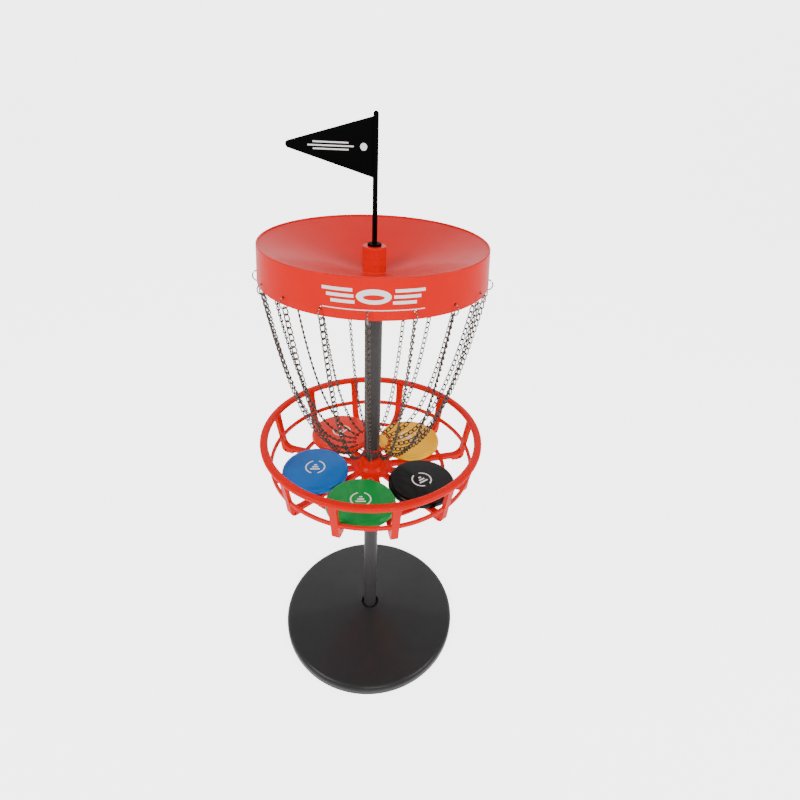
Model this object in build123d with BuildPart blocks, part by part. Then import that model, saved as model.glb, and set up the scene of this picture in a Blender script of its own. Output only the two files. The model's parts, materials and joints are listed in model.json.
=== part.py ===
from build123d import *
import math
import os

# Disc golf practice basket, in millimetres. +Z is up, the floor is z = 0 and the
# pole runs along the Z axis. The front faces -Y and the pennant points to -X.

# --- Base ---------------------------------------------------------------------
base_radius = 170.0
base_wall = 3.0
base_side_height = 17.0
base_edge_round = 9.0
base_dome_height = 36.0
base_opening_gap = 4.0
base_lip_depth = 7.0
base_lip_round = 1.0
base_plate_bottom = 3.0
base_plate_thickness = 2.5
base_plate_gap = 0.3
post_circle_radius = 120.0
post_radius = 5.0
post_count = 4
screw_shank_radius = 1.9
screw_head_radius = 4.0
screw_head_height = 2.2
screw_length = 11.0
screw_gap = 0.05
ballast_outer_radius = 108.0
ballast_thickness = 8.0
ballast_gap = 3.0
ballast_chamfer = 1.0
socket_wall = 2.6
socket_drop = 8.0

# --- Pole ---------------------------------------------------------------------
pole_radius = 12.5
pole_wall = 1.2
fit_gap = 0.05
ferrule_wall = 1.5
ferrule_length = 84.0
foot_nut_length = 14.0
bolt_radius = 3.0
bolt_head_across_flats = 10.0
bolt_head_height = 2.4
bolt_length = 18.0
bolt_hole_gap = 0.2

# --- Basket -------------------------------------------------------------------
basket_radius = 175.0
basket_floor_top = 403.0
top_ring_width = 12.0
top_ring_height = 9.0
top_ring_rise = 70.5
top_ring_round = 3.8
rib_count = 12
rib_phase = 12.0
rib_thickness = 6.0
rib_top_inset = 6.5
rib_bottom_inset = 16.0
rib_width_at_top = 16.0
rib_width_middle = 12.0
rib_width_at_bottom = 10.5
rib_flare_height = 12.0
rib_corner_round = 14.0
rib_outer_round = 10.0
rib_gusset_depth = 10.0
rib_hole_radius = 1.9
rib_foot_length = 14.0
mid_ring_rise = 17.0
mid_ring_height = 7.0
mid_ring_width = 4.6
mid_ring_round = 1.4
spoke_width = 10.0
spoke_thickness = 4.0
spoke_web_width = 3.0
spoke_web_depth = 6.0
floor_ring_radius = 120.0
floor_ring_width = 6.0
floor_disc_radius = 33.0
hub_wall = 5.7
hub_rise = 20.0
hub_drop = 15.0
hub_round = 1.2
hub_flare = 5.0
shoulder_thickness = 2.0
shoulder_height = 2.0

# --- Header -------------------------------------------------------------------
header_radius = 150.6
header_bottom = 727.0
header_height = 46.6
header_draft = 3.7
header_wall_thickness = 2.4
header_rim_round = 0.9
funnel_thickness = 2.4
funnel_rim_drop = 1.6
funnel_low_rise = 6.0
boss_wall = 2.95
boss_rise = 33.5
boss_drop = 15.0
boss_web = 8.5
boss_round = 1.5
boss_groove_depth = 0.35
boss_groove_width = 0.8
boss_groove_drops = (5.5, 15.0, 24.0)

# --- Chains -------------------------------------------------------------------
chain_count = 18
chain_phase = -2.4
hook_inset = 1.6
hook_radius = 6.75
hook_wire_radius = 0.8
hook_rise = 2.5
hook_hole_radius = 1.7
link_wire_radius = 0.85
link_side_gap = 0.4
link_pitch_aim = 8.7
link_gap = 0.1
hook_gap = 0.3
chain_curve = 44.0
chain_ring_radius = 29.6
chain_ring_wire_radius = 1.3
chain_ring_rise = 50.0
chain_ring_gap = 1.2

# --- Flag ---------------------------------------------------------------------
collar_radius = 9.0
collar_thickness = 3.0
collar_round = 0.8
spigot_radius = 5.0
spigot_length = 16.0
collar_floor = 2.0
flag_rod_radius = 3.15
flag_foot_gap = 0.3
flag_rise = 149.5
pennant_top_drop = 5.0
pennant_bottom_drop = 70.0
pennant_tip_drop = 37.0
pennant_length = 114.5
pennant_tip_round = 4.0
pennant_thickness = 1.6
pennant_root = 1.0

# --- Discs --------------------------------------------------------------------
disc_height = 13.0
disc_crown = 1.6
disc_wall = 2.0
disc_rim_width = 6.0
disc_shoulder_round = 6.5
disc_foot_round = 3.0
disc_slack = 4.6
# colour, direction from the front towards +X in degrees, distance from the ribs,
# and how far the outer edge leans up on the rib corners in degrees
disc_places = (
    ("green", -9.0, 2.0, 3.6),
    ("black", 57.0, 8.0, 0.0),
    ("yellow", 133.0, 13.0, 0.0),
    ("orange", -145.0, 8.0, 0.0),
    ("blue", -76.0, 9.0, 0.0),
)

# --- Values worked out from the sizes above -----------------------------------
pole_bore = pole_radius + fit_gap
base_opening_radius = pole_radius + base_opening_gap
hub_radius = pole_bore + hub_wall
boss_radius = pole_bore + boss_wall
link_width = 2 * (chain_ring_wire_radius + link_side_gap + 2 * link_wire_radius)
tube_inner = pole_radius - pole_wall
plate_top = base_plate_bottom + base_plate_thickness
socket_top = base_dome_height - socket_drop
floor_bottom = basket_floor_top - spoke_thickness
web_bottom = floor_bottom - spoke_web_depth
hub_top = basket_floor_top + hub_rise
hub_bottom = basket_floor_top - hub_drop
shoulder_bottom = basket_floor_top + shoulder_height
shoulder_top = shoulder_bottom + shoulder_thickness
top_ring_top = basket_floor_top + top_ring_rise
mid_ring_bottom = basket_floor_top + mid_ring_rise
rib_top = top_ring_top - top_ring_height / 2
rib_top_radius = basket_radius - rib_top_inset
rib_bottom_radius = basket_radius - rib_bottom_inset
rib_foot_radius = rib_bottom_radius - rib_thickness / 2 - rib_foot_length
header_top = header_bottom + header_height
header_top_radius = header_radius - header_draft
funnel_low_point = header_bottom + funnel_low_rise
boss_top = funnel_low_point + boss_rise
boss_bottom = funnel_low_point - boss_drop
pole_top = boss_top - boss_web
hook_centre_radius = header_radius - hook_inset
hook_centre_height = header_bottom + hook_rise
hook_top = hook_centre_height + hook_radius
hook_bottom = hook_centre_height - hook_radius
chain_ring_height = basket_floor_top + chain_ring_rise
collar_bottom = boss_top - spigot_length
collar_bore = flag_rod_radius + fit_gap
flag_foot = collar_bottom + collar_floor + flag_foot_gap
flag_top = boss_top + flag_rise
pennant_top = flag_top - pennant_top_drop
pennant_bottom = flag_top - pennant_bottom_drop
pennant_tip_height = flag_top - pennant_tip_drop
basket_inner = rib_bottom_radius - rib_thickness / 2
disc_turn = math.sin(math.pi / len(disc_places))
disc_radius = basket_inner * disc_turn / (1 + disc_turn) - disc_slack


def header_outer(height):
    """Outer radius of the tapered header wall at a height."""
    return header_radius - header_draft * (height - header_bottom) / header_height


def rib_centre(height):
    """Radius of the middle of the leaning ribs at a height."""
    share = (height - basket_floor_top) / (rib_top - basket_floor_top)
    return rib_bottom_radius + (rib_top_radius - rib_bottom_radius) * share


def heading(degrees):
    """Direction in the floor plane, counted from the front (-Y) towards +X."""
    turn = math.radians(degrees)
    return Vector(math.sin(turn), -math.cos(turn), 0)


def corner(profile, across, up):
    """The corner of a profile nearest to a place in the sketch's own plane."""
    return profile.vertices().sort_by_distance((across, up, 0))[0]


def write(piece, name):
    """Label one finished piece and write it as its own file."""
    piece.label = name
    export_step(piece, f"parts/{name}.step")


os.makedirs("parts", exist_ok=True)

# =============================================================== base_shell ===
dome_slope = (base_dome_height - base_side_height) / (base_radius - base_opening_radius)
with BuildPart() as base_shell:
    with BuildSketch(Plane.XZ) as shell_profile:
        with BuildLine():
            Polyline(
                (base_radius, 0),
                (base_radius, base_side_height),
                (base_opening_radius, base_dome_height),
                (base_opening_radius, base_dome_height - base_lip_depth),
                (base_opening_radius + base_wall, base_dome_height - base_lip_depth),
                (base_opening_radius + base_wall, base_dome_height - base_wall),
                (base_radius - base_wall, base_side_height - base_wall),
                (base_radius - base_wall, 0),
                close=True,
            )
        make_face()
        fillet(corner(shell_profile, base_radius, base_side_height), base_edge_round)
        inner_corner = corner(shell_profile, base_radius - base_wall, base_side_height - base_wall)
        fillet(inner_corner, base_edge_round - base_wall)
        fillet(corner(shell_profile, base_opening_radius, base_dome_height), base_lip_round)
    revolve(axis=Axis.Z)
    post_top = base_side_height + dome_slope * (base_radius - post_circle_radius) - base_wall / 2
    with BuildSketch(Plane.XY.offset(plate_top)):
        with PolarLocations(post_circle_radius, post_count):
            Circle(post_radius)
    extrude(amount=post_top - plate_top)
    with BuildSketch(Plane.XY.offset(plate_top)):
        with PolarLocations(post_circle_radius, post_count):
            Circle(screw_shank_radius + screw_gap)
    extrude(amount=screw_length - base_plate_thickness + screw_gap, mode=Mode.SUBTRACT)
write(base_shell.part, "base_shell")

# =============================================================== base_plate ===
with BuildPart() as base_plate:
    with BuildSketch(Plane.XY.offset(base_plate_bottom)):
        Circle(base_radius - base_wall - base_plate_gap)
        Circle(bolt_radius + bolt_hole_gap, mode=Mode.SUBTRACT)
        with PolarLocations(post_circle_radius, post_count):
            Circle(screw_shank_radius + screw_gap, mode=Mode.SUBTRACT)
    extrude(amount=base_plate_thickness)
    with BuildSketch(Plane.XY.offset(plate_top)):
        Circle(pole_bore + socket_wall)
        Circle(pole_bore, mode=Mode.SUBTRACT)
    extrude(amount=socket_top - plate_top)
write(base_plate.part, "base_plate")

# ============================================================= base_ballast ===
with BuildPart() as base_ballast:
    with BuildSketch(Plane.XY.offset(plate_top)):
        Circle(ballast_outer_radius)
        Circle(pole_bore + socket_wall + ballast_gap, mode=Mode.SUBTRACT)
    extrude(amount=ballast_thickness)
    chamfer(base_ballast.faces().sort_by(Axis.Z)[-1].edges(), ballast_chamfer)
write(base_ballast.part, "base_ballast")

# ============================================================== base_screws ===
with BuildPart() as base_screws:
    with BuildSketch(Plane.XY.offset(base_plate_bottom)):
        with PolarLocations(post_circle_radius, post_count):
            Circle(screw_head_radius)
    extrude(amount=-screw_head_height)
    with BuildSketch(Plane.XY.offset(base_plate_bottom)):
        with PolarLocations(post_circle_radius, post_count):
            Circle(screw_shank_radius)
    extrude(amount=screw_length)
write(base_screws.part, "base_screws")

# ================================================================ pole_bolt ===
with BuildPart() as pole_bolt:
    with BuildSketch(Plane.XY.offset(base_plate_bottom)):
        RegularPolygon(bolt_head_across_flats / 2, 6, major_radius=False)
    extrude(amount=-bolt_head_height)
    with BuildSketch(Plane.XY.offset(base_plate_bottom)):
        Circle(bolt_radius)
    extrude(amount=bolt_length)
write(pole_bolt.part, "pole_bolt")

# ============================================================ pole_foot_nut ===
with BuildPart() as pole_foot_nut:
    with BuildSketch(Plane.XY.offset(plate_top)):
        Circle(tube_inner - fit_gap)
        Circle(bolt_radius + fit_gap, mode=Mode.SUBTRACT)
    extrude(amount=foot_nut_length)
write(pole_foot_nut.part, "pole_foot_nut")

# =============================================== lower_pole and upper_pole ===
with BuildPart() as lower_pole:
    with BuildSketch(Plane.XY.offset(plate_top)):
        Circle(pole_radius)
        Circle(tube_inner, mode=Mode.SUBTRACT)
    extrude(amount=shoulder_bottom - plate_top)
write(lower_pole.part, "lower_pole")

with BuildPart() as upper_pole:
    with BuildSketch(Plane.XY.offset(shoulder_top)):
        Circle(pole_radius)
        Circle(tube_inner, mode=Mode.SUBTRACT)
    extrude(amount=pole_top - shoulder_top)
write(upper_pole.part, "upper_pole")

# ============================================================= pole_ferrule ===
ferrule_middle = (shoulder_bottom + shoulder_top) / 2
with BuildPart() as pole_ferrule:
    with BuildSketch(Plane.XY.offset(ferrule_middle - ferrule_length / 2)):
        Circle(tube_inner - fit_gap)
        Circle(tube_inner - fit_gap - ferrule_wall, mode=Mode.SUBTRACT)
    extrude(amount=ferrule_length)
write(pole_ferrule.part, "pole_ferrule")

# ========================================================== basket_top_ring ===
with BuildPart() as basket_top_ring:
    with BuildSketch(Plane.XZ) as ring_section:
        with Locations((basket_radius - top_ring_width / 2, top_ring_top - top_ring_height / 2)):
            RectangleRounded(top_ring_width, top_ring_height, top_ring_round)
    revolve(axis=Axis.Z)
write(basket_top_ring.part, "basket_top_ring")

# ============================================================== basket_ribs ===
# One rib is an L: a strap that leans in from the top ring, a rounded corner and
# a foot that runs on into the spoke. A gusset with a hole fills the corner.
half_rib = rib_thickness / 2
with BuildPart() as rib:
    with BuildSketch(Plane.XZ) as rib_profile:
        with BuildLine():
            Polyline(
                (rib_centre(rib_top) + half_rib, rib_top),
                (rib_centre(mid_ring_bottom) + half_rib, mid_ring_bottom),
                (rib_bottom_radius + half_rib, web_bottom),
                (rib_foot_radius, web_bottom),
                (rib_foot_radius, basket_floor_top),
                (rib_bottom_radius - half_rib, basket_floor_top),
                (rib_centre(rib_top) - half_rib, rib_top),
                close=True,
            )
        make_face()
        fillet(corner(rib_profile, rib_bottom_radius + half_rib, web_bottom), rib_outer_round)
        rib_elbow = corner(rib_profile, rib_bottom_radius - half_rib, basket_floor_top)
        fillet(rib_elbow, rib_corner_round)
        with Locations((rib_bottom_radius - half_rib, web_bottom + rib_gusset_depth / 2)):
            Circle(rib_hole_radius, mode=Mode.SUBTRACT)
    extrude(amount=rib_width_at_top, both=True)
    with BuildSketch(Plane.YZ.offset(rib_foot_radius)):
        with BuildLine():
            Polyline(
                (-rib_width_at_bottom / 2, web_bottom),
                (-rib_width_middle / 2, rib_top - rib_flare_height),
                (-rib_width_at_top / 2, rib_top),
                (rib_width_at_top / 2, rib_top),
                (rib_width_middle / 2, rib_top - rib_flare_height),
                (rib_width_at_bottom / 2, web_bottom),
                close=True,
            )
        make_face()
    extrude(amount=basket_radius - rib_foot_radius, mode=Mode.INTERSECT)

with BuildPart() as basket_ribs:
    with PolarLocations(0, rib_count, start_angle=rib_phase - 90):
        add(rib.part)
    add(basket_top_ring.part, mode=Mode.SUBTRACT)
write(basket_ribs.part, "basket_ribs")

# ========================================================== basket_mid_ring ===
mid_ring_radius = rib_centre(mid_ring_bottom + mid_ring_height / 2)
with BuildPart() as basket_mid_ring:
    with BuildSketch(Plane.XZ):
        with Locations((mid_ring_radius, mid_ring_bottom + mid_ring_height / 2)):
            RectangleRounded(mid_ring_width, mid_ring_height, mid_ring_round)
    revolve(axis=Axis.Z)
    add(basket_ribs.part, mode=Mode.SUBTRACT)
write(basket_mid_ring.part, "basket_mid_ring")

# =============================================================== basket_hub ===
with BuildPart() as basket_hub:
    with BuildSketch(Plane.XY.offset(floor_bottom)):
        Circle(floor_disc_radius)
    extrude(amount=spoke_thickness)
    with BuildSketch(Plane.XZ) as hub_profile:
        with BuildLine():
            Polyline(
                (0, hub_bottom),
                (hub_radius, hub_bottom),
                (hub_radius, web_bottom),
                (hub_radius + hub_flare, floor_bottom),
                (hub_radius + hub_flare, basket_floor_top),
                (hub_radius, basket_floor_top + hub_flare),
                (hub_radius, hub_top),
                (0, hub_top),
                close=True,
            )
        make_face()
        fillet(corner(hub_profile, hub_radius, hub_top), hub_round)
    revolve(axis=Axis.Z)
    with BuildSketch(Plane.XZ):
        with BuildLine():
            Polyline(
                (0, hub_bottom),
                (pole_bore, hub_bottom),
                (pole_bore, shoulder_bottom),
                (tube_inner, shoulder_bottom),
                (tube_inner, shoulder_top),
                (pole_bore, shoulder_top),
                (pole_bore, hub_top),
                (0, hub_top),
                close=True,
            )
        make_face()
    revolve(axis=Axis.Z, mode=Mode.SUBTRACT)
write(basket_hub.part, "basket_hub")

# ============================================================ basket_spokes ===
# Every spoke is a flat strap with a stiffening web under it.
with BuildPart() as basket_spokes:
    with BuildSketch(Plane.XY.offset(floor_bottom)):
        with PolarLocations(0, rib_count, start_angle=rib_phase - 90):
            Rectangle(rib_foot_radius, spoke_width, align=(Align.MIN, Align.CENTER))
        Circle(floor_disc_radius, mode=Mode.SUBTRACT)
    extrude(amount=spoke_thickness)
    with BuildSketch(Plane.XY.offset(web_bottom)):
        with PolarLocations(0, rib_count, start_angle=rib_phase - 90):
            Rectangle(rib_foot_radius, spoke_web_width, align=(Align.MIN, Align.CENTER))
        Circle(hub_radius + hub_flare, mode=Mode.SUBTRACT)
    extrude(amount=spoke_web_depth)
write(basket_spokes.part, "basket_spokes")

# ======================================================== basket_floor_ring ===
with BuildPart() as basket_floor_ring:
    with BuildSketch(Plane.XY.offset(floor_bottom)):
        Circle(floor_ring_radius + floor_ring_width / 2)
        Circle(floor_ring_radius - floor_ring_width / 2, mode=Mode.SUBTRACT)
        with PolarLocations(0, rib_count, start_angle=rib_phase - 90):
            Rectangle(
                rib_foot_radius,
                spoke_width,
                align=(Align.MIN, Align.CENTER),
                mode=Mode.SUBTRACT,
            )
    extrude(amount=spoke_thickness)
write(basket_floor_ring.part, "basket_floor_ring")

# ============================================================== header_wall ===
with BuildPart() as header_wall:
    with BuildSketch(Plane.XZ) as wall_profile:
        with BuildLine():
            Polyline(
                (header_radius, header_bottom),
                (header_top_radius, header_top),
                (header_top_radius - header_wall_thickness, header_top),
                (header_radius - header_wall_thickness, header_bottom),
                close=True,
            )
        make_face()
        fillet(wall_profile.vertices(), header_rim_round)
    revolve(axis=Axis.Z)
    for hook in range(chain_count):
        hook_direction = heading(chain_phase + hook * 360 / chain_count)
        hole_start = hook_direction * (header_radius - header_wall_thickness * 3)
        hole_plane = Plane(origin=hole_start + Vector(0, 0, hook_top), z_dir=hook_direction)
        with BuildSketch(hole_plane):
            Circle(hook_hole_radius)
        extrude(amount=header_wall_thickness * 4, mode=Mode.SUBTRACT)
write(header_wall.part, "header_wall")

# ============================================================ header_funnel ===
# The funnel hangs from the inside of the wall and carries the pole boss.
funnel_high_point = header_top - funnel_rim_drop
funnel_outer = header_outer(funnel_high_point) - header_wall_thickness
funnel_under = funnel_high_point - funnel_thickness
funnel_outer_under = header_outer(funnel_under) - header_wall_thickness
with BuildPart() as header_funnel:
    with BuildSketch(Plane.XZ) as funnel_profile:
        with BuildLine():
            Polyline(
                (funnel_outer, funnel_high_point),
                (boss_radius, funnel_low_point),
                (boss_radius, boss_top),
                (0, boss_top),
                (0, boss_bottom),
                (boss_radius, boss_bottom),
                (boss_radius, funnel_low_point - funnel_thickness),
                (funnel_outer_under, funnel_under),
                close=True,
            )
        make_face()
        fillet(corner(funnel_profile, boss_radius, boss_top), boss_round)
        fillet(corner(funnel_profile, boss_radius, funnel_low_point), boss_round)
    revolve(axis=Axis.Z)
    with BuildSketch(Plane.XY.offset(boss_bottom)):
        Circle(pole_bore)
    extrude(amount=pole_top - boss_bottom, mode=Mode.SUBTRACT)
    with BuildSketch(Plane.XY.offset(pole_top)):
        Circle(spigot_radius + fit_gap)
    extrude(amount=boss_web, mode=Mode.SUBTRACT)
    for groove_drop in boss_groove_drops:
        with BuildSketch(Plane.XY.offset(boss_top - groove_drop)):
            Circle(boss_radius)
            Circle(boss_radius - boss_groove_depth, mode=Mode.SUBTRACT)
        extrude(amount=boss_groove_width, mode=Mode.SUBTRACT)
write(header_funnel.part, "header_funnel")

# =============================================================== jump_rings ===
# Each ring passes through its hole in the wall and hangs below the lower edge.
with BuildPart() as jump_rings:
    for hook in range(chain_count):
        hook_direction = heading(chain_phase + hook * 360 / chain_count)
        hook_side = Vector(0, 0, 1).cross(hook_direction)
        hook_centre = hook_direction * hook_centre_radius + Vector(0, 0, hook_centre_height)
        with Locations(Plane(origin=hook_centre, z_dir=hook_side)):
            Torus(hook_radius, hook_wire_radius)
write(jump_rings.part, "jump_rings")

# =============================================================== chain_ring ===
with BuildPart() as chain_ring:
    with Locations((0, 0, chain_ring_height)):
        Torus(chain_ring_radius, chain_ring_wire_radius)
write(chain_ring.part, "chain_ring")

# ============================================== chain_01, chain_02 and so on ===
# Every chain hangs in the upright plane through its hook and the pole, along a
# catenary from the jump ring down to the chain ring.
chain_start_height = hook_bottom + hook_wire_radius + hook_gap
chain_end_radius = chain_ring_radius - chain_ring_wire_radius - chain_ring_gap
chain_reach = hook_centre_radius - chain_end_radius
chain_drop = chain_start_height - chain_ring_height
chain_slope = chain_drop / (2 * chain_curve * math.sinh(chain_reach / (2 * chain_curve)))
chain_middle_radius = (hook_centre_radius + chain_end_radius) / 2
chain_low_radius = chain_middle_radius - chain_curve * math.asinh(chain_slope)
chain_low_length = chain_curve * math.sinh((chain_end_radius - chain_low_radius) / chain_curve)
chain_high_length = chain_curve * math.sinh((hook_centre_radius - chain_low_radius) / chain_curve)
chain_length = chain_high_length - chain_low_length
link_count = 2 * round(chain_length / link_pitch_aim / 2)
link_pitch = chain_length / link_count
link_arc = link_width / 2 - link_wire_radius
link_half_straight = (link_pitch + link_gap) / 2 + link_wire_radius - link_arc


def link_place(index):
    """Place of one link: x along the chain and, on odd links, z to the side."""
    along = chain_high_length - (index + 0.5) * link_pitch
    radius = chain_low_radius + chain_curve * math.asinh(along / chain_curve)
    rise = chain_curve * math.cosh((radius - chain_low_radius) / chain_curve)
    end_rise = chain_curve * math.cosh((chain_end_radius - chain_low_radius) / chain_curve)
    centre = Vector(radius, 0, chain_ring_height + rise - end_rise)
    direction = Vector(1, 0, math.sinh((radius - chain_low_radius) / chain_curve))
    side = Vector(0, 1, 0)
    across = side if index % 2 else direction.cross(side)
    return Plane(origin=centre, x_dir=direction, z_dir=across)


with BuildPart() as link:
    with BuildLine():
        Line((-link_half_straight, link_arc), (link_half_straight, link_arc))
        CenterArc((link_half_straight, 0), link_arc, 90, -180)
        Line((link_half_straight, -link_arc), (-link_half_straight, -link_arc))
        CenterArc((-link_half_straight, 0), link_arc, 270, -180)
    with BuildSketch(Plane(origin=(0, link_arc, 0), z_dir=(1, 0, 0))):
        Circle(link_wire_radius)
    sweep()

with BuildPart() as chain:
    with Locations(*(link_place(index) for index in range(link_count))):
        add(link.part)

for hook in range(chain_count):
    hook_angle = chain_phase + hook * 360 / chain_count - 90
    write(chain.part.rotate(Axis.Z, hook_angle), f"chain_{hook + 1:02d}")

# ============================================================== flag_collar ===
with BuildPart() as flag_collar:
    with BuildSketch(Plane.XY.offset(collar_bottom)):
        Circle(spigot_radius)
    extrude(amount=spigot_length)
    with BuildSketch(Plane.XY.offset(boss_top)):
        Circle(collar_radius)
    extrude(amount=collar_thickness)
    fillet(flag_collar.faces().sort_by(Axis.Z)[-1].edges(), collar_round)
    with BuildSketch(Plane.XY.offset(collar_bottom + collar_floor)):
        Circle(collar_bore)
    extrude(amount=spigot_length + collar_thickness, mode=Mode.SUBTRACT)
write(flag_collar.part, "flag_collar")

# ===================================================================== flag ===
with BuildPart() as flag:
    with BuildSketch(Plane.XY.offset(flag_foot)):
        Circle(flag_rod_radius)
    extrude(amount=flag_top - flag_rod_radius - flag_foot)
    with Locations((0, 0, flag_top - flag_rod_radius)):
        Sphere(flag_rod_radius)
    with BuildSketch(Plane.XZ) as pennant:
        with BuildLine():
            Polyline(
                (-pennant_root, pennant_top),
                (-pennant_length, pennant_tip_height),
                (-pennant_root, pennant_bottom),
                close=True,
            )
        make_face()
        fillet(corner(pennant, -pennant_length, pennant_tip_height), pennant_tip_round)
    extrude(amount=pennant_thickness / 2, both=True)
write(flag.part, "flag")

# ==================================================== disc_green and so on ===
disc_floor_radius = disc_radius - disc_rim_width
with BuildPart() as disc:
    with BuildSketch(Plane.XZ) as disc_profile:
        with BuildLine():
            disc_top = ThreePointArc(
                (0, disc_height),
                (disc_radius / 2, disc_height - disc_crown / 4),
                (disc_radius, disc_height - disc_crown),
            )
            Polyline(
                disc_top @ 1,
                (disc_radius, 0),
                (disc_floor_radius, 0),
                (disc_floor_radius, disc_height - disc_crown - disc_wall),
                (0, disc_height - disc_wall),
                disc_top @ 0,
            )
        make_face()
        fillet(corner(disc_profile, disc_radius, disc_height - disc_crown), disc_shoulder_round)
        fillet(corner(disc_profile, disc_radius, 0), disc_foot_round)
    revolve(axis=Axis.Z)

for colour, direction, gap, lean in disc_places:
    outward = heading(direction)
    low_edge = outward * (basket_inner - disc_radius - gap - disc_radius + disc_foot_round)
    lean_axis = Axis(low_edge + Vector(0, 0, basket_floor_top), outward.cross(Vector(0, 0, 1)))
    flat_place = Location(outward * (basket_inner - disc_radius - gap) + Vector(0, 0, basket_floor_top))
    write(disc.part.moved(flat_place).rotate(lean_axis, lean), f"disc_{colour}")
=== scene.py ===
"""Looks of the miniature disc golf basket: twisted chains, hooks, prints, finishes and the studio."""
import json
import logging
import math
import random
from dataclasses import dataclass, field
from enum import Enum
from typing import Iterable, Mapping, Optional, Protocol, Sequence, Union

import bpy
from mathutils import Matrix, Vector


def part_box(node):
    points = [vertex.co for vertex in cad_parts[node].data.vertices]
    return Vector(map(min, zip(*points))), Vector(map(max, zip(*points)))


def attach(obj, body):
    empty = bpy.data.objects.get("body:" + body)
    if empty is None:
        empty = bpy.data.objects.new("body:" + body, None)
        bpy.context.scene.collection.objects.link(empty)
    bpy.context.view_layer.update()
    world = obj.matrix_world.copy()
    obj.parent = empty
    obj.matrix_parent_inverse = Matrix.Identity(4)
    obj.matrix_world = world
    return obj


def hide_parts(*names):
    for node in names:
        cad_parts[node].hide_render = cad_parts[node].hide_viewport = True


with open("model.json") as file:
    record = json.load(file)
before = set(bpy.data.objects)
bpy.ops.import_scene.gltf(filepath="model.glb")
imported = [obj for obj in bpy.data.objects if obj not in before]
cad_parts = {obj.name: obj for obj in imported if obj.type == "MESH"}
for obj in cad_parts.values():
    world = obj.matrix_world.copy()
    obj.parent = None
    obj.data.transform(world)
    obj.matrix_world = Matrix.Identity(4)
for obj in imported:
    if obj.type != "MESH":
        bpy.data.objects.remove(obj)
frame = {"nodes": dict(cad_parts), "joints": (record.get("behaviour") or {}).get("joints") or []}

log = logging.getLogger("disc_golf_basket")
MM = 0.001
Colour = tuple[float, float, float]
Number = Union["Socket", float]
Mesh = tuple[list[Vector], list[tuple[int, ...]]]
UP = Vector((0, 0, 1))


class Blend(Enum):
    """Ways of putting two scalar values together."""

    ADD = "ADD"
    SUBTRACT = "SUBTRACT"
    MULTIPLY = "MULTIPLY"
    DIVIDE = "DIVIDE"
    MAXIMUM = "MAXIMUM"
    MINIMUM = "MINIMUM"
    ARCTAN2 = "ARCTAN2"
    ABSOLUTE = "ABSOLUTE"
    SQRT = "SQRT"


class Socket:
    """One scalar output of a node tree that ordinary arithmetic works on."""

    def __init__(self, tree: bpy.types.NodeTree, output: bpy.types.NodeSocket) -> None:
        """Wrap an output.

        Args:
            tree: The node tree that the output is part of.
            output: The output to wrap.
        """
        self.tree = tree
        self.output = output

    def _math(self, blend: Blend, *values: Number) -> "Socket":
        """Add one Math node.

        Args:
            blend: The operation.
            values: Its inputs in order.

        Returns:
            The node's result.
        """
        node = self.tree.nodes.new("ShaderNodeMath")
        node.operation = blend.value
        for place, value in zip(node.inputs, values):
            if isinstance(value, Socket):
                self.tree.links.new(value.output, place)
            else:
                place.default_value = value
        return Socket(self.tree, node.outputs[0])

    def __add__(self, other: Number) -> "Socket":
        """Sum of two values."""
        return self._math(Blend.ADD, self, other)

    def __radd__(self, other: Number) -> "Socket":
        """Sum with a plain number on the left."""
        return self._math(Blend.ADD, other, self)

    def __sub__(self, other: Number) -> "Socket":
        """Difference of two values."""
        return self._math(Blend.SUBTRACT, self, other)

    def __rsub__(self, other: Number) -> "Socket":
        """Difference with a plain number on the left."""
        return self._math(Blend.SUBTRACT, other, self)

    def __mul__(self, other: Number) -> "Socket":
        """Product of two values."""
        return self._math(Blend.MULTIPLY, self, other)

    def __rmul__(self, other: Number) -> "Socket":
        """Product with a plain number on the left."""
        return self._math(Blend.MULTIPLY, other, self)

    def __truediv__(self, other: Number) -> "Socket":
        """Quotient of two values."""
        return self._math(Blend.DIVIDE, self, other)

    def __rtruediv__(self, other: Number) -> "Socket":
        """Quotient with a plain number on top."""
        return self._math(Blend.DIVIDE, other, self)

    def __abs__(self) -> "Socket":
        """Size of the value without its sign."""
        return self._math(Blend.ABSOLUTE, self)

    def __neg__(self) -> "Socket":
        """Value with its sign changed."""
        return self * -1.0

    def root(self) -> "Socket":
        """Square root.

        Returns:
            The root of the value.
        """
        return self._math(Blend.SQRT, self)

    def angle_over(self, other: "Socket") -> "Socket":
        """Angle whose tangent is this value over another.

        Args:
            other: The value below.

        Returns:
            The angle in radians, from -pi to pi.
        """
        return self._math(Blend.ARCTAN2, self, other)

    def larger(self, other: Number) -> "Socket":
        """The larger of two values.

        Args:
            other: The other value.

        Returns:
            The larger one.
        """
        return self._math(Blend.MAXIMUM, self, other)

    def smaller(self, other: Number) -> "Socket":
        """The smaller of two values.

        Args:
            other: The other value.

        Returns:
            The smaller one.
        """
        return self._math(Blend.MINIMUM, self, other)

    def below(self, edge: float, soft: float) -> "Socket":
        """A soft step that is 1 under an edge and 0 over it.

        Args:
            edge: The value where the step lies.
            soft: Width of the step.

        Returns:
            The step, from 0 to 1.
        """
        node = self.tree.nodes.new("ShaderNodeMapRange")
        node.interpolation_type = "SMOOTHSTEP"
        self.tree.links.new(self.output, node.inputs[0])
        for place, value in zip(node.inputs[1:5], (edge - soft / 2, edge + soft / 2, 1.0, 0.0)):
            place.default_value = value
        return Socket(self.tree, node.outputs[0])


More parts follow.
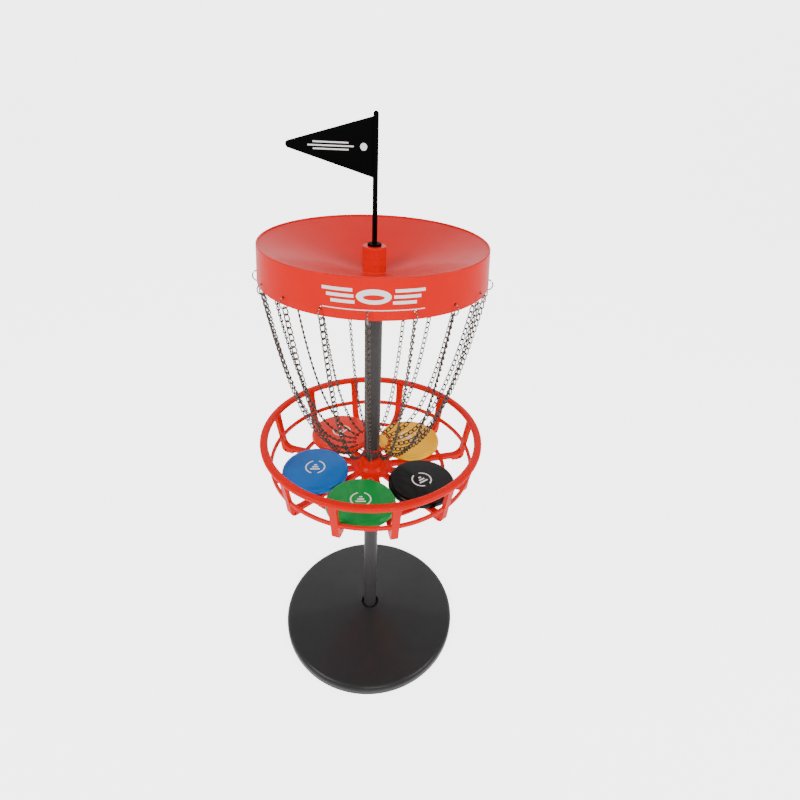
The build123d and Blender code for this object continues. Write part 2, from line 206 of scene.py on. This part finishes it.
class Paint:
    """A material under construction: its tree, its nodes and its one surface shader."""

    def __init__(self, name: str) -> None:
        """Start an empty material.

        Args:
            name: The material's name.
        """
        self.material = bpy.data.materials.new(name)
        self.material.use_nodes = True
        self.tree = self.material.node_tree
        self.tree.nodes.clear()
        self.shader = self.node("ShaderNodeBsdfPrincipled")
        end = self.node("ShaderNodeOutputMaterial")
        self.tree.links.new(self.shader.outputs[0], end.inputs["Surface"])

    def node(
        self,
        kind: str,
        settings: Optional[Mapping[str, object]] = None,
        values: Optional[Mapping[Union[int, str], object]] = None,
    ) -> bpy.types.Node:
        """Add any node.

        Args:
            kind: The node's type name.
            settings: Attributes to set on it.
            values: Inputs by name or index; a node socket is linked, anything else is set.

        Returns:
            The new node.
        """
        made = self.tree.nodes.new(kind)
        for key, value in (settings or {}).items():
            setattr(made, key, value)
        for key, value in (values or {}).items():
            if isinstance(value, Socket):
                value = value.output
            if isinstance(value, bpy.types.NodeSocket):
                self.tree.links.new(value, made.inputs[key])
            else:
                made.inputs[key].default_value = value
        return made

    def place(self) -> tuple[Socket, Socket, Socket]:
        """The point on the object, in metres in the shared frame.

        Returns:
            Its x, y and z.
        """
        where = self.node("ShaderNodeTexCoord")
        apart = self.node("ShaderNodeSeparateXYZ", values={0: where.outputs["Object"]})
        return tuple(Socket(self.tree, output) for output in apart.outputs)

    def noise(self, size: float, detail: float = 3.0) -> Socket:
        """Soft solid noise.

        Args:
            size: Rough size of one patch, in metres.
            detail: How many finer layers it holds.

        Returns:
            The noise, from 0 to 1.
        """
        where = self.node("ShaderNodeTexCoord")
        values = {"Vector": where.outputs["Object"], "Scale": 1.0 / size, "Detail": detail}
        made = self.node("ShaderNodeTexNoise", values=values)
        return Socket(self.tree, made.outputs[0])

    def mix(self, share: Number, first: object, second: object) -> bpy.types.NodeSocket:
        """Mix two colours.

        Args:
            share: How much of the second colour shows.
            first: A colour or a colour socket.
            second: A colour or a colour socket.

        Returns:
            The mixed colour.
        """
        made = self.node("ShaderNodeMix", {"data_type": "RGBA"}, {0: share})
        for place, value in ((made.inputs[6], first), (made.inputs[7], second)):
            if isinstance(value, bpy.types.NodeSocket):
                self.tree.links.new(value, place)
            else:
                place.default_value = (*value, 1.0)
        return made.outputs[2]

    def wire(self, name: str, value: object) -> None:
        """Feed a varying value into the surface shader.

        Args:
            name: The shader's input.
            value: A socket or a wrapped socket.
        """
        output = value.output if isinstance(value, Socket) else value
        self.tree.links.new(output, self.shader.inputs[name])

    def fix(self, **values: float) -> None:
        """Set constant values on the surface shader.

        Args:
            values: Value by input name, with underscores for blanks.
        """
        for key, value in values.items():
            self.shader.inputs[key.replace("_", " ")].default_value = value

    def bump(self, height: Socket, depth: float) -> None:
        """Make the surface uneven.

        Args:
            height: The relief, from 0 to 1.
            depth: Its full depth in metres.
        """
        values = {"Height": height, "Distance": depth, "Strength": 1.0}
        self.wire("Normal", self.node("ShaderNodeBump", values=values).outputs[0])


class Mark(Protocol):
    """A printed mark that says where its ink lies."""

    def ink(self, paint: Paint) -> Socket:
        """How much ink covers a point.

        Args:
            paint: The material that the mark is printed on.

        Returns:
            The ink, from 0 to 1.
        """


INK_EDGE = 0.35 * MM  # width of the soft border of every print


def bar(across: Socket, up: Socket, width: float, height: float) -> Socket:
    """Distance outside a rectangle about the origin.

    Args:
        across: Distance along its width.
        up: Distance along its height.
        width: Its full width.
        height: Its full height.

    Returns:
        The distance, negative inside.
    """
    return (abs(across) - width / 2).larger(abs(up) - height / 2)


def blob(across: Socket, up: Socket, width: float, height: float) -> Socket:
    """Rough distance outside an ellipse about the origin.

    Args:
        across: Distance along its width.
        up: Distance along its height.
        width: Its full width.
        height: Its full height.

    Returns:
        The distance, negative inside.
    """
    wide = across / (width / 2)
    tall = up / (height / 2)
    return ((wide * wide + tall * tall).root() - 1.0) * (min(width, height) / 2)


@dataclass(frozen=True)
class FlyingDiscBand:
    """Header print: a disc in flight with speed lines on both sides, over one thin rule."""

    radius: float
    middle: float
    half_width: float = 57 * MM
    disc_width: float = 38 * MM
    disc_height: float = 16 * MM
    hole_width_share: float = 0.62
    hole_height_share: float = 0.36
    hole_drop: float = 0.8 * MM
    line_height: float = 3.4 * MM
    line_gap: float = 4 * MM
    inner_step: float = 1.2 * MM
    outer_step: float = 5 * MM
    rows: Sequence[float] = (6.3 * MM, 0.0, -6.3 * MM)
    rule_drop: float = 14.5 * MM
    rule_height: float = 0.9 * MM

    def ink(self, paint: Paint) -> Socket:
        """Cover of the header print.

        Args:
            paint: The material it is printed on.

        Returns:
            The ink, from 0 to 1.
        """
        x, y, z = paint.place()
        along = x.angle_over(-y) * self.radius
        up = z - self.middle
        shape = blob(along, up, self.disc_width, self.disc_height)
        hole_width = self.disc_width * self.hole_width_share
        hole_height = self.disc_height * self.hole_height_share
        shape = shape.larger(-blob(along, up + self.hole_drop, hole_width, hole_height))
        gap = self.disc_width / 2 + self.line_gap
        for index, row in enumerate(self.rows):
            inner = gap - index * self.inner_step
            outer = self.half_width - index * self.outer_step
            middle = abs(along) - (inner + outer) / 2
            shape = shape.smaller(bar(middle, up - row, outer - inner, self.line_height))
        rule = bar(along, up + self.rule_drop, self.half_width * 2, self.rule_height)
        return shape.smaller(rule).below(0.0, INK_EDGE)


@dataclass(frozen=True)
class RingStamp:
    """Disc print: an open ring round a small triangle of three bars."""

    centre: Vector
    turn: float
    size: float = 30 * MM
    line_share: float = 0.035
    opening_share: float = 0.16
    bar_share: float = 0.09
    bars: Sequence[tuple[float, float]] = ((0.17, 0.16), (0.0, 0.34), (-0.17, 0.52))
    side_edge: float = 0.2 * MM

    def ink(self, paint: Paint) -> Socket:
        """Cover of the stamp.

        Args:
            paint: The material it is printed on.

        Returns:
            The ink, from 0 to 1.
        """
        x, y, z = paint.place()
        left = x - self.centre.x
        back = y - self.centre.y
        across = left * math.cos(self.turn) + back * math.sin(self.turn)
        up = back * math.cos(self.turn) - left * math.sin(self.turn)
        shape = abs((left * left + back * back).root() - self.size / 2) - self.size * self.line_share
        shape = shape.larger(self.opening_share * self.size - abs(across))
        for row, width in self.bars:
            strip = bar(across, up - row * self.size, width * self.size, self.bar_share * self.size)
            shape = shape.smaller(strip)
        lower_side = (z - self.centre.z).below(0.0, self.side_edge)
        return shape.below(0.0, INK_EDGE) * (1.0 - lower_side)


@dataclass(frozen=True)
class PennantStripes:
    """Pennant print: three slim stripes and a dot on both faces."""

    start: float
    middle: float
    length: float = 66 * MM
    dot: float = 8 * MM
    dot_inset: float = 2 * MM
    stripe_shift: float = 7 * MM
    stripe_height: float = 1.5 * MM
    stripes: Sequence[tuple[float, float]] = ((3.6 * MM, 0.62), (0.0, 0.8), (-3.6 * MM, 0.62))

    def ink(self, paint: Paint) -> Socket:
        """Cover of the pennant print.

        Args:
            paint: The material it is printed on.

        Returns:
            The ink, from 0 to 1.
        """
        x, _, z = paint.place()
        along = x - (self.start - self.length / 2)
        up = z - self.middle
        shape = blob(x - (self.start - self.dot_inset), up, self.dot, self.dot)
        for row, share in self.stripes:
            strip = bar(along + self.stripe_shift, up - row, self.length * share, self.stripe_height)
            shape = shape.smaller(strip)
        return shape.below(0.0, INK_EDGE)


@dataclass(frozen=True)
class Finish:
    """A finish: its colour, its gloss and the fine grain that breaks it up."""

    name: str
    colour: Colour
    shade: Colour
    roughness: float = 0.3
    roughness_spread: float = 0.08
    metallic: float = 0.0
    patch: float = 30 * MM
    grain: float = 0.6 * MM
    grain_depth: float = 0.01 * MM
    coat: float = 0.0
    coat_roughness: float = 0.08
    shine: float = 0.5
    light: float = 0.0
    spill: float = 1.0
    marks: Sequence[Mark] = field(default_factory=tuple)
    ink_colour: Colour = (0.88, 0.88, 0.88)
    ink_roughness: float = 0.08

    def material(self) -> bpy.types.Material:
        """Build the material.

        Returns:
            The finished material.
        """
        paint = Paint(self.name)
        cloud = paint.noise(self.patch)
        fine = paint.noise(self.grain, 2.0)
        colour = paint.mix(cloud, self.colour, self.shade)
        rough = self.roughness + (cloud - 0.5) * self.roughness_spread
        for mark in self.marks:
            ink = mark.ink(paint)
            colour = paint.mix(ink, colour, self.ink_colour)
            rough = rough + ink * self.ink_roughness
        paint.wire("Base Color", colour)
        paint.wire("Roughness", rough)
        paint.bump(fine, self.grain_depth)
        paint.fix(Metallic=self.metallic, Specular_IOR_Level=self.shine)
        paint.fix(Coat_Weight=self.coat, Coat_Roughness=self.coat_roughness)
        if self.light:
            seen = Socket(paint.tree, paint.node("ShaderNodeLightPath").outputs["Is Camera Ray"])
            paint.wire("Emission Color", seen * (1.0 - self.spill) + self.spill)
            paint.fix(Emission_Strength=self.light)
        return paint.material


RED = Finish("red_moulding", (0.72, 0.002, 0.0), (0.66, 0.001, 0.0), 0.3, coat=0.08, shine=0.05)
BASE_BLACK = Finish(
    "charcoal_moulding",
    (0.022, 0.022, 0.0225),
    (0.016, 0.016, 0.0165),
    0.36,
    grain=0.4 * MM,
    grain_depth=0.03 * MM,
    coat=0.12,
    shine=0.2,
)
UNDERSIDE = Finish("underside_moulding", (0.02, 0.02, 0.02), (0.016, 0.016, 0.016), 0.5, shine=0.2)
POLE_COAT = Finish(
    "dark_grey_coat",
    (0.05, 0.046, 0.047),
    (0.04, 0.037, 0.038),
    0.38,
    0.1,
    0.2,
    grain=0.5 * MM,
    shine=0.3,
)
FLAG_BLACK = Finish("black_moulding", (0.0015, 0.0015, 0.0015), (0.001, 0.001, 0.001), 0.6, shine=0.03)
NICKEL = Finish(
    "nickel_wire",
    (0.15, 0.125, 0.105),
    (0.045, 0.036, 0.028),
    0.34,
    0.14,
    1.0,
    patch=4 * MM,
    grain=0.3 * MM,
)
BRIGHT_WIRE = Finish("bright_wire", (0.36, 0.34, 0.32), (0.16, 0.145, 0.13), 0.26, 0.1, 1.0, patch=5 * MM)
ZINC = Finish("zinc_plate", (0.62, 0.62, 0.6), (0.5, 0.5, 0.48), 0.34, 0.1, 1.0, patch=4 * MM)
CAST = Finish("cast_weight", (0.1, 0.1, 0.1), (0.06, 0.06, 0.06), 0.7, grain=1 * MM, grain_depth=0.15 * MM)


def dress(nodes: Iterable[str], finish: Finish) -> None:
    """Give CAD nodes a finish.

    Args:
        nodes: The nodes' names.
        finish: The finish they all share.
    """
    material = finish.material()
    for name in nodes:
        slots = frame["nodes"][name].data.materials
        slots.clear()
        slots.append(material)
        log.info("dressed %s in %s", name, finish.name)


def tube(centres: Sequence[Vector], radius: float, sides: int, closed: bool = True) -> Mesh:
    """Round wire along a path.

    Args:
        centres: Points along the wire.
        radius: The wire's radius.
        sides: Corners of its section.
        closed: Whether the path joins up with its start.

    Returns:
        The points and faces of the wire.
    """
    count = len(centres)
    points: list[Vector] = []
    ahead = [
        (centres[(i + 1) % count if closed else min(i + 1, count - 1)] - centres[i - 1 if closed or i else 0])
        for i in range(count)
    ]
    normal = ahead[0].orthogonal().normalized()
    first = normal.copy()
    for centre, along in zip(centres, ahead):
        along = along.normalized()
        normal = (normal - along * normal.dot(along)).normalized()
        other = along.cross(normal)
        for side in range(sides):
            turn = math.tau * side / sides
            points.append(centre + (normal * math.cos(turn) + other * math.sin(turn)) * radius)
    faces: list[tuple[int, ...]] = []
    start = ahead[0].normalized()
    back = (normal - start * normal.dot(start)).normalized()
    slip = round(math.atan2(back.cross(first).dot(start), back.dot(first)) / math.tau * sides)
    for i in range(count if closed else count - 1):
        step = slip if closed and i == count - 1 else 0
        for side in range(sides):
            here, there = i * sides, ((i + 1) % count) * sides
            one, two = side, (side + 1) % sides
            last_one, last_two = (one - step) % sides, (two - step) % sides
            faces.append((here + one, here + two, there + last_two, there + last_one))
    if not closed:
        faces.append(tuple(range(sides))[::-1])
        faces.append(tuple((count - 1) * sides + side for side in range(sides)))
    return points, faces


def piece(name: str, parts: Iterable[Mesh], finish: bpy.types.Material) -> bpy.types.Object:
    """One smooth mesh object out of several closed meshes.

    Args:
        name: The object's name.
        parts: Points and faces of each mesh.
        finish: Its material.

    Returns:
        The new object.
    """
    points: list[Vector] = []
    faces: list[tuple[int, ...]] = []
    for part_points, part_faces in parts:
        offset = len(points)
        points.extend(part_points)
        faces.extend(tuple(index + offset for index in face) for face in part_faces)
    mesh = bpy.data.meshes.new(name)
    mesh.from_pydata(points, [], faces)
    mesh.polygons.foreach_set("use_smooth", [True] * len(mesh.polygons))
    mesh.materials.append(finish)
    made = bpy.data.objects.new(name, mesh)
    bpy.context.scene.collection.objects.link(made)
    log.info("made %s with %d faces", name, len(faces))
    return made


class Assembly(Protocol):
    """A group of pieces that is built in one go."""

    def build(self) -> None:
        """Dress or make every piece of the group."""


@dataclass
class Base:
    """The weighted base: its shell, its underside and what they hide."""

    shell: Sequence[str] = ("base_shell",)
    underside: Sequence[str] = ("base_plate",)
    fasteners: Sequence[str] = ("base_screws", "pole_bolt", "pole_foot_nut")

    def build(self) -> None:
        """Dress every piece of the base."""
        dress(self.shell, BASE_BLACK)
        dress(self.underside, UNDERSIDE)
        dress(self.fasteners, ZINC)
        dress(("base_ballast",), CAST)


@dataclass
class Pole:
    """The two tubes and the ferrule that joins them inside the hub."""

    tubes: Sequence[str] = ("lower_pole", "upper_pole")

    def build(self) -> None:
        """Dress the pole."""
        dress(self.tubes, POLE_COAT)
        dress(("pole_ferrule",), ZINC)


@dataclass
class Basket:
    """The red open basket: hub, spokes, ribs and rings of one moulding."""

    stem: str = "basket_"

    def build(self) -> None:
        """Dress every part of the moulding in one red."""
        dress(sorted(name for name in frame["nodes"] if name.startswith(self.stem)), RED)


@dataclass
class Header:
    """The red header, its print and the jump rings through its wall."""

    print_lift: float = 3 * MM
    ring_wire: float = 0.8 * MM
    ring_radius: float = 6.75 * MM
    ring_steps: int = 28
    split_steps: int = 1
    split_turn: float = math.pi / 4
    wire_sides: int = 10

    def build(self) -> None:
        """Print the wall, dress the funnel and hang the split jump rings."""
        low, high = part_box("header_wall")
        middle = (low[2] + high[2]) / 2 + self.print_lift
        band = FlyingDiscBand(radius=high[0], middle=middle)
        printed = Finish(
            "red_moulding_printed",
            RED.colour,
            RED.shade,
            RED.roughness,
            coat=RED.coat,
            shine=RED.shine,
            marks=(band,),
        )
        dress(("header_wall",), printed)
        dress(("header_funnel",), RED)
        rings = piece("hook_rings", self.rings(), BRIGHT_WIRE.material())
        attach(rings, "stand")
        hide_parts("jump_rings")

    def rings(self) -> Iterable[Mesh]:
        """Points and faces of each split ring.

        Returns:
            One mesh for each hook.
        """
        for joint in chain_joints():
            bottom = Vector(joint["pos_m"])
            outward = Vector((bottom.x, bottom.y, 0)).normalized()
            centre = bottom + Vector((0, 0, self.ring_radius))
            steps = self.ring_steps - self.split_steps
            turns = [math.tau * (step + 0.5) / self.ring_steps + self.split_turn for step in range(steps + 1)]
            path = [
                centre + (outward * math.cos(turn) + UP * math.sin(turn)) * self.ring_radius for turn in turns
            ]
            yield tube(path, self.ring_wire, self.wire_sides, closed=False)


def chain_joints() -> list[Mapping[str, object]]:
    """The joints that the chains swing on.

    Returns:
        The joints in the chains' order.
    """
    found = [joint for joint in frame["joints"] if joint["name"].endswith("_swing")]
    return sorted(found, key=lambda joint: joint["name"])


@dataclass
class Chains:
    """Twisted curb chains that hang from the header to the ring, one for each hook."""

    wire: float = 0.85 * MM
    width: float = 6.8 * MM
    hook_wire: float = 0.8 * MM
    hook_gap: float = 0.3 * MM
    ring_wire: float = 1.3 * MM
    ring_gap: float = 1.2 * MM
    link_gap: float = 0.1 * MM
    curve: float = 44 * MM
    links: int = 36
    twist: float = math.radians(84)
    loose: float = math.radians(5)
    arc_steps: int = 7
    straight_steps: int = 5
    wire_sides: int = 8

    def build(self) -> None:
        """Hang every chain and colour the ring that gathers them."""
        finish = NICKEL.material()
        for index, joint in enumerate(chain_joints()):
            made = piece(f"{joint['child']}_links", self.chain(Vector(joint["pos_m"]), index), finish)
            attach(made, joint["child"])
            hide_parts(joint["child"])
        dress(("chain_ring",), RED)

    def chain(self, hook: Vector, seed: int) -> Iterable[Mesh]:
        """Links of one chain along its catenary.

        Args:
            hook: The lowest wire centre of the jump ring.
            seed: Number that sets how the links settle.

        Returns:
            One mesh for each link.
        """
        low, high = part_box("chain_ring")
        ring_radius = (high[0] - low[0]) / 2 - self.ring_wire
        end = Vector((ring_radius - self.ring_wire - self.ring_gap, (low[2] + high[2]) / 2))
        start = Vector((math.hypot(hook.x, hook.y), hook.z + self.hook_wire + self.hook_gap))
        reach = start.x - end.x
        slope = (start.y - end.y) / (2 * self.curve * math.sinh(reach / (2 * self.curve)))
        middle = (start.x + end.x) / 2 - self.curve * math.asinh(slope)
        top = self.curve * math.sinh((start.x - middle) / self.curve)
        bottom = self.curve * math.sinh((end.x - middle) / self.curve)
        pitch = (top - bottom) / self.links
        outward = Vector((hook.x, hook.y, 0)).normalized()
        side = UP.cross(outward)
        floor = end.y - self.curve * math.cosh((end.x - middle) / self.curve)
        settle = random.Random(seed)
        for index in range(self.links):
            along = top - (index + 0.5) * pitch
            radius = middle + self.curve * math.asinh(along / self.curve)
            height = floor + self.curve * math.cosh((radius - middle) / self.curve)
            steep = math.sinh((radius - middle) / self.curve)
            down = -(outward + Vector((0, 0, steep))).normalized()
            place = outward * radius + Vector((0, 0, height))
            free = 0.0 if index in (0, self.links - 1) else settle.uniform(-self.loose, self.loose)
            yield tube(self.link(place, down, side, pitch, free), self.wire, self.wire_sides)

    def link(self, place: Vector, down: Vector, side: Vector, pitch: float, free: float) -> list[Vector]:
        """Centre line of one twisted link.

        Args:
            place: The link's centre.
            down: Direction along the chain.
            side: Direction across the chain's upright plane.
            pitch: Distance between links.
            free: How far this link has rolled from its neighbours.

        Returns:
            Points round the link.
        """
        arc = self.width / 2 - self.wire
        half = (pitch + self.link_gap) / 2 + self.wire - arc
        flat: list[tuple[float, float]] = []
        for end in (1, -1):
            for step in range(self.arc_steps + 1):
                turn = math.pi * (0.5 - step / self.arc_steps)
                flat.append((end * (half + arc * math.cos(turn)), end * arc * math.sin(turn)))
            for step in range(1, self.straight_steps):
                share = step / self.straight_steps
                flat.append((end * half * (1 - 2 * share), -end * arc))
        out = side.cross(down)
        reach = half + arc
        points = []
        for along, across in flat:
            roll = math.pi / 4 - self.twist / 2 * along / reach + free
            points.append(place + down * along + (out * math.cos(roll) + side * math.sin(roll)) * across)
        return points


@dataclass
class FlagStaff:
    """The black pennant and the collar that it stands in."""

    print_inset: float = 12 * MM
    print_drop: float = 37 * MM

    def build(self) -> None:
        """Print the pennant and dress the collar."""
        _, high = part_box("flag")
        stripes = PennantStripes(start=-self.print_inset, middle=high[2] - self.print_drop)
        printed = Finish(
            "black_moulding_printed",
            FLAG_BLACK.colour,
            FLAG_BLACK.shade,
            FLAG_BLACK.roughness,
            shine=FLAG_BLACK.shine,
            marks=(stripes,),
        )
        dress(("flag",), printed)
        dress(("flag_collar",), FLAG_BLACK)


@dataclass
class PlayingDiscs:
    """The five playing discs that lie in the basket."""

    roughness: float = 0.32
    coat: float = 0.12
    shine: float = 0.12
    inks: Mapping[str, tuple[Colour, Colour, float]] = field(
        default_factory=lambda: {
            "disc_blue": ((0.005, 0.14, 0.52), (0.004, 0.115, 0.44), 0.0),
            "disc_green": ((0.006, 0.3, 0.05), (0.005, 0.24, 0.04), 0.0),
            "disc_black": ((0.0015, 0.0012, 0.001), (0.001, 0.0008, 0.0006), 0.6),
            "disc_yellow": ((1.0, 0.54, 0.0), (0.95, 0.49, 0.0), -0.4),
            "disc_orange": ((0.85, 0.022, 0.006), (0.78, 0.017, 0.004), 0.9),
        }
    )

    def build(self) -> None:
        """Give each disc its colour and its stamp."""
        for name, (colour, shade, turn) in self.inks.items():
            low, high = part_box(name)
            centre = Vector(((low[0] + high[0]) / 2, (low[1] + high[1]) / 2, (low[2] + high[2]) / 2))
            stamp = RingStamp(centre, turn)
            finish = Finish(
                f"{name}_plastic",
                colour,
                shade,
                self.roughness,
                coat=self.coat,
                shine=self.shine,
                marks=(stamp,),
            )
            dress((name,), finish)


@dataclass
class Studio:
    """The pale sweep, the soft lights and the camera."""

    paper_colour: Colour = (0.82, 0.82, 0.82)
    paper_roughness: float = 0.9
    paper_light: float = 3.6
    paper_spill: float = 0.22
    paper_width: float = 16.0
    paper_front: float = -6.0
    paper_back: float = 4.0
    paper_bend: float = 2.0
    paper_height: float = 6.0
    bend_steps: int = 24
    world_strength: float = 0.55
    aim: Vector = field(default_factory=lambda: Vector((0, 0, 0.5)))
    boxes: Sequence[tuple[str, Sequence[float], float, float]] = (
        ("left_box", (-1.8, -1.2, 1.9), 1.1, 34.0),
        ("right_box", (1.9, -1.0, 1.7), 1.1, 26.0),
        ("front_box", (0.3, -2.2, 1.7), 1.0, 20.0),
    )
    camera_place: Vector = field(default_factory=lambda: Vector((0, -0.6377, 0.93875)))
    yaw: float = math.radians(3.80)
    pitch: float = math.radians(32.49)
    roll: float = math.radians(2.78)
    lens: float = 22.07
    sensor_width: float = 36.0

    def build(self) -> None:
        """Set up the stage."""
        self.floor()
        self.lights()
        self.camera()

    def floor(self) -> None:
        """Hang a wide pale paper sweep that runs from the floor up behind the basket."""
        start = self.paper_back - self.paper_bend
        turns = [math.pi / 2 * step / self.bend_steps for step in range(self.bend_steps + 1)]
        profile = [(self.paper_front, 0.0)]
        profile += [
            (start + self.paper_bend * math.sin(turn), self.paper_bend * (1 - math.cos(turn)))
            for turn in turns
        ]
        profile.append((self.paper_back, self.paper_height))
        half = self.paper_width / 2
        points = [Vector((side * half, y, z)) for y, z in profile for side in (-1, 1)]
        faces = [(i, i + 1, i + 3, i + 2) for i in range(0, len(points) - 2, 2)]
        finish = Finish(
            "floor_paper",
            self.paper_colour,
            self.paper_colour,
            self.paper_roughness,
            roughness_spread=0.0,
            grain_depth=0.0,
            shine=0.0,
            light=self.paper_light,
            spill=self.paper_spill,
        )
        piece("floor", [(points, faces)], finish.material())

    def lights(self) -> None:
        """Hang the soft boxes and set the even surround."""
        world = bpy.data.worlds.new("surround")
        world.use_nodes = True
        surround = world.node_tree.nodes["Background"]
        surround.inputs[0].default_value = (1.0, 1.0, 1.0, 1.0)
        surround.inputs[1].default_value = self.world_strength
        bpy.context.scene.world = world
        for name, place, size, power in self.boxes:
            light = bpy.data.lights.new(name, "AREA")
            light.size = size
            light.energy = power
            lamp = bpy.data.objects.new(name, light)
            lamp.location = place
            lamp.rotation_euler = (self.aim - Vector(place)).to_track_quat("-Z", "Y").to_euler()
            bpy.context.scene.collection.objects.link(lamp)

    def camera(self) -> None:
        """Place the camera and make it the scene's own."""
        lens = bpy.data.cameras.new("camera")
        lens.lens = self.lens
        lens.sensor_width = self.sensor_width
        eye = bpy.data.objects.new("camera", lens)
        level = math.cos(self.pitch)
        ahead = Vector((math.sin(self.yaw) * level, math.cos(self.yaw) * level, -math.sin(self.pitch)))
        right = ahead.cross(UP).normalized()
        up = right.cross(ahead)
        turned_right = right * math.cos(self.roll) + up * math.sin(self.roll)
        turned_up = up * math.cos(self.roll) - right * math.sin(self.roll)
        turn = Matrix((turned_right, turned_up, -ahead)).transposed().to_4x4()
        eye.matrix_world = Matrix.Translation(self.camera_place) @ turn
        bpy.context.scene.collection.objects.link(eye)
        bpy.context.scene.camera = eye


def main() -> None:
    """Build every sub-assembly, then the studio, and log each one as it is ready."""
    logging.basicConfig(level=logging.INFO, format="%(name)s: %(message)s")
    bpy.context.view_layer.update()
    steps: Sequence[Assembly] = (
        Base(),
        Pole(),
        Basket(),
        Header(),
        Chains(),
        FlagStaff(),
        PlayingDiscs(),
        Studio(),
    )
    for step in steps:
        step.build()
        log.info("%s is ready", type(step).__name__)


if __name__ == "__main__":
    main()
